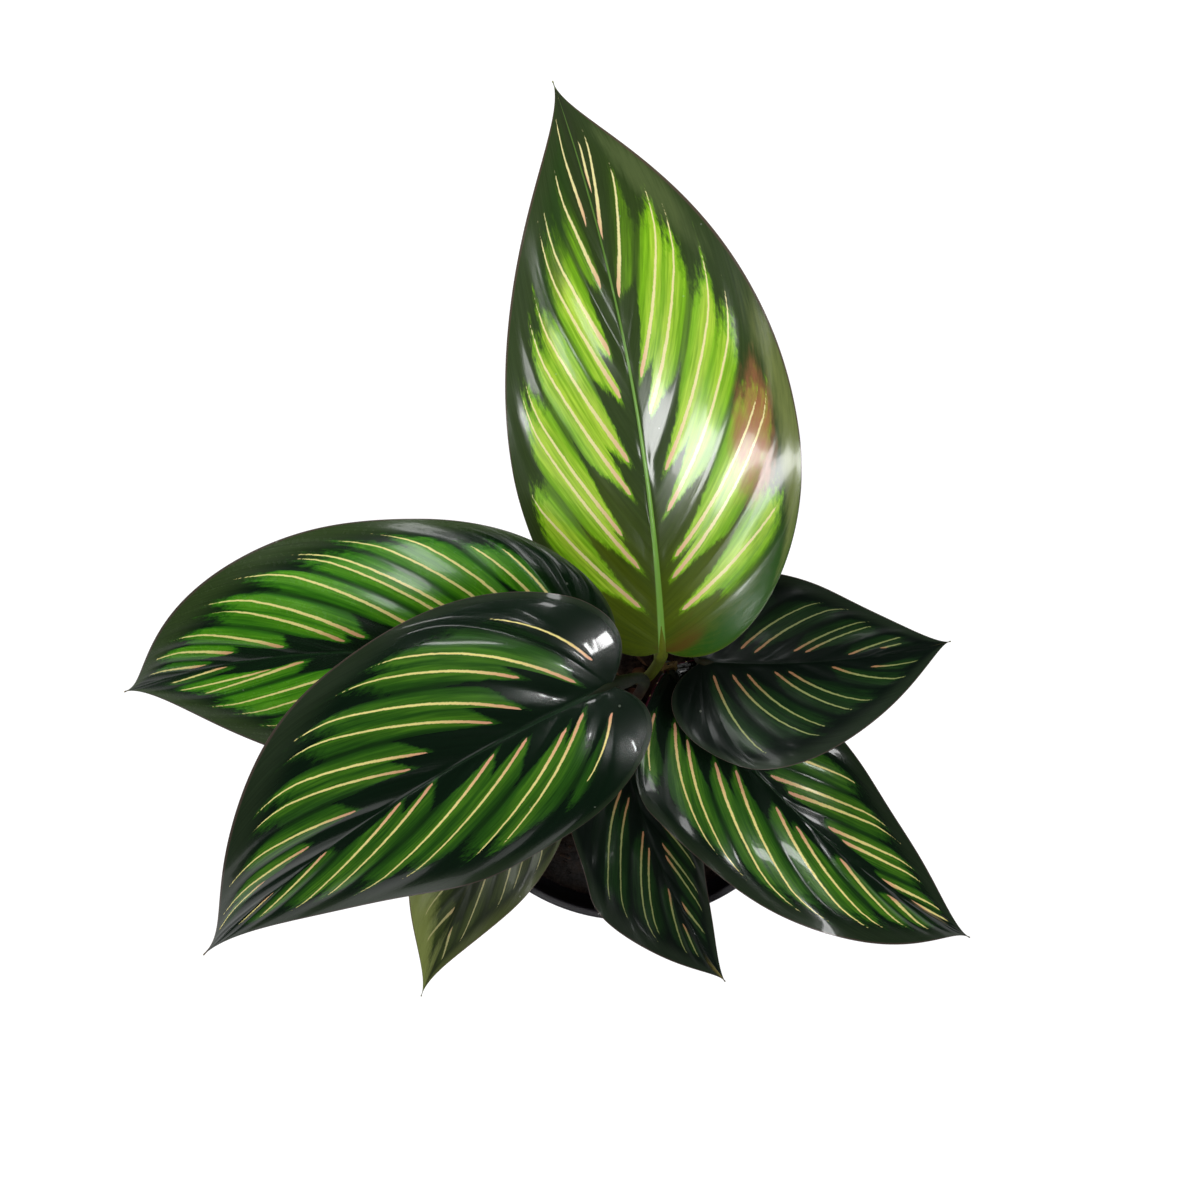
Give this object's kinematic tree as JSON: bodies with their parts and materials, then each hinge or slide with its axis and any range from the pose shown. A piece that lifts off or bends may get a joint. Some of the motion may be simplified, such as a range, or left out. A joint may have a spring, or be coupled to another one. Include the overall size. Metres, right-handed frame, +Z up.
{
  "type": "potted calathea plant",
  "caption": "Potted prayer plant with broad pointed leaves striped along their side veins, on slim arching stems, in soil in a round tapered nursery pot.",
  "frame": {"origin": "centre of the pot's flat bottom, on the surface that it stands on", "axes": "+Z up along the pot's axis; +Y towards the large lime leaf at the back; +X towards the short leaf at the right"},
  "size_m": [0.2555, 0.266, 0.2266],
  "materials": {
    "pot_plastic": "satin moulded black plastic",
    "soil": "crumbly damp potting mix",
    "lime_leaf": "glossy lime green leaf",
    "dark_leaf": "glossy dark green leaf with pale pink stripes, purple below",
    "olive_leaf": "satin olive leaf with cream stripes, purple below"
  },
  "bodies": {
    "root": {"nursery_pot": "pot_plastic", "potting_soil": "soil", "leaf_back": "lime_leaf", "leaf_left": "dark_leaf", "leaf_front_left": "dark_leaf", "leaf_right": "dark_leaf", "leaf_front_right": "dark_leaf", "leaf_front": "dark_leaf", "leaf_front_low": "olive_leaf"}
  },
  "joints": []
}
